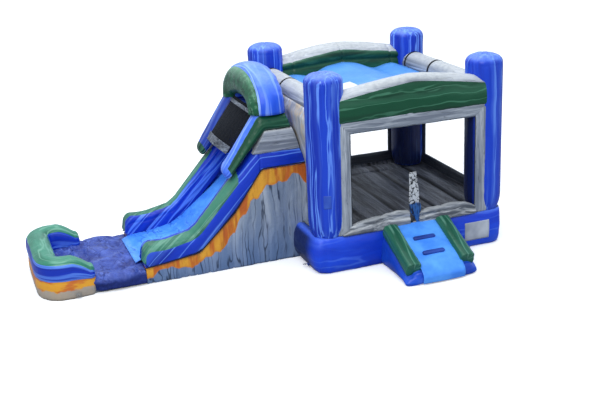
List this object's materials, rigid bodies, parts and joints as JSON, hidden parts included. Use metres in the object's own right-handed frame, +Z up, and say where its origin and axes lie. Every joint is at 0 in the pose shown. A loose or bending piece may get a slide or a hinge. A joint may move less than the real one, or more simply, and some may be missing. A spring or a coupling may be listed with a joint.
{
  "type": "inflatable bounce house",
  "caption": "Inflatable bounce house with corner columns, netted windows, an entrance ramp, an attached slide with a landing and bumper, and a ground blower.",
  "frame": {"origin": "on the ground under the middle of the house's floor", "axes": "+X to the right seen from the entrance, +Y from the entrance to the rear wall, +Z up; the slide runs towards -X"},
  "size_m": [9.4235, 6.98, 3.915],
  "materials": {
    "blue_vinyl": "gloss",
    "green_vinyl": "gloss",
    "grey_vinyl": "satin",
    "floor_vinyl": "matte",
    "light_blue_vinyl": "gloss",
    "roof_vinyl": "satin",
    "print_vinyl": "satin",
    "navy_vinyl": "satin",
    "netting": "matte",
    "webbing": "matte",
    "patch_vinyl": "satin",
    "door_vinyl": "satin",
    "plated_steel": "satin",
    "blower_plastic": "satin",
    "motor_paint": "satin",
    "guard_wire": "satin",
    "impeller_plastic": "matte",
    "switch_plastic": "gloss",
    "zip_plastic": "matte",
    "cord_rubber": "matte"
  },
  "bodies": {
    "house": {"base_skirt": "blue_vinyl", "bounce_floor": "floor_vinyl", "column_front_left": "blue_vinyl", "column_front_right": "blue_vinyl", "column_rear_left": "blue_vinyl", "column_rear_right": "blue_vinyl", "front_beam": "green_vinyl", "rear_beam": "green_vinyl", "left_rail": "grey_vinyl", "right_rail": "grey_vinyl", "roof_canopy": "roof_vinyl", "roof_straps": "webbing", "front_frame": "grey_vinyl", "rear_frame": "grey_vinyl", "right_frame": "grey_vinyl", "left_frame": "grey_vinyl", "front_sill_left": "grey_vinyl", "front_sill_right": "grey_vinyl", "front_net": "netting", "rear_net": "netting", "right_net": "netting", "ramp_base": "blue_vinyl", "ramp_deck": "light_blue_vinyl", "ramp_bolster_left": "green_vinyl", "ramp_bolster_right": "green_vinyl", "step_bars": "blue_vinyl", "slide_body": "print_vinyl", "slide_bed": "light_blue_vinyl", "slide_rail_near": "blue_vinyl", "slide_rail_far": "blue_vinyl", "upper_wall_near": "green_vinyl", "upper_wall_far": "green_vinyl", "platform_panels": "grey_vinyl", "slide_arch": "blue_vinyl", "slide_net": "netting", "climb_ramp": "light_blue_vinyl", "landing_base": "print_vinyl", "landing_mat": "navy_vinyl", "bumper": "green_vinyl", "patches": "patch_vinyl", "anchor_tabs": "webbing", "inflation_sleeve": "blue_vinyl", "sleeve_strap": "webbing", "deflation_zip": "zip_plastic", "blower_housing": "blower_plastic", "blower_motor": "motor_paint", "blower_guard": "guard_wire", "blower_cord": "cord_rubber"},
    "left_door_leaf": {"door_net_left": "netting"},
    "right_door_leaf": {"door_net_right": "netting"},
    "entry_flap": {"door_flap": "door_vinyl"},
    "zip_pull": {"zip_slider": "plated_steel"},
    "impeller": {"blower_impeller": "impeller_plastic"},
    "rocker": {"blower_switch": "switch_plastic"},
    "ring_1": {"anchor_ring_1": "plated_steel"},
    "ring_2": {"anchor_ring_2": "plated_steel"},
    "ring_3": {"anchor_ring_3": "plated_steel"},
    "ring_4": {"anchor_ring_4": "plated_steel"},
    "ring_5": {"anchor_ring_5": "plated_steel"},
    "ring_6": {"anchor_ring_6": "plated_steel"}
  },
  "joints": [
    {"name": "left_leaf_swing", "type": "hinge", "parent": "house", "child": "left_door_leaf", "pos_m": [-0.008, -1.996, 1.817], "axis": [0.5496, 0, 0.8354], "range_deg": [0, 95]},
    {"name": "right_leaf_swing", "type": "hinge", "parent": "house", "child": "right_door_leaf", "pos_m": [0.008, -1.996, 1.817], "axis": [0.5496, 0, -0.8354], "range_deg": [0, 95]},
    {"name": "entry_flap_lift", "type": "hinge", "parent": "house", "child": "entry_flap", "pos_m": [-0.02, -2.04, 1.826], "axis": [-1, 0, 0], "range_deg": [0, 110]},
    {"name": "zip_travel", "type": "slide", "parent": "house", "child": "zip_pull", "axis": [1, 0, 0], "range_m": [0, 0.43]},
    {"name": "impeller_spin", "type": "hinge", "parent": "house", "child": "impeller", "pos_m": [0.9, 3, 0.27], "axis": [1, 0, 0], "continuous": true},
    {"name": "rocker_tilt", "type": "hinge", "parent": "house", "child": "rocker", "pos_m": [0.706, 3, 0.3625], "axis": [1, 0, 0], "range_deg": [-12, 12]},
    {"name": "ring_1_lift", "type": "hinge", "parent": "house", "child": "ring_1", "pos_m": [-2.135, -1.5, 0.075], "axis": [0, 1, 0], "range_deg": [-55, 80]},
    {"name": "ring_2_lift", "type": "hinge", "parent": "house", "child": "ring_2", "pos_m": [2.135, -1.5, 0.075], "axis": [0, -1, 0], "range_deg": [-55, 80]},
    {"name": "ring_3_lift", "type": "hinge", "parent": "house", "child": "ring_3", "pos_m": [2.135, 1.5, 0.075], "axis": [0, -1, 0], "range_deg": [-55, 80]},
    {"name": "ring_4_lift", "type": "hinge", "parent": "house", "child": "ring_4", "pos_m": [-1.5, 2.135, 0.075], "axis": [1, 0, 0], "range_deg": [-55, 80]},
    {"name": "ring_5_lift", "type": "hinge", "parent": "house", "child": "ring_5", "pos_m": [-6.5, -1.028, 0.075], "axis": [-1, 0, 0], "range_deg": [-55, 80]},
    {"name": "ring_6_lift", "type": "hinge", "parent": "house", "child": "ring_6", "pos_m": [-6.5, 1.368, 0.075], "axis": [1, 0, 0], "range_deg": [-55, 80]}
  ]
}
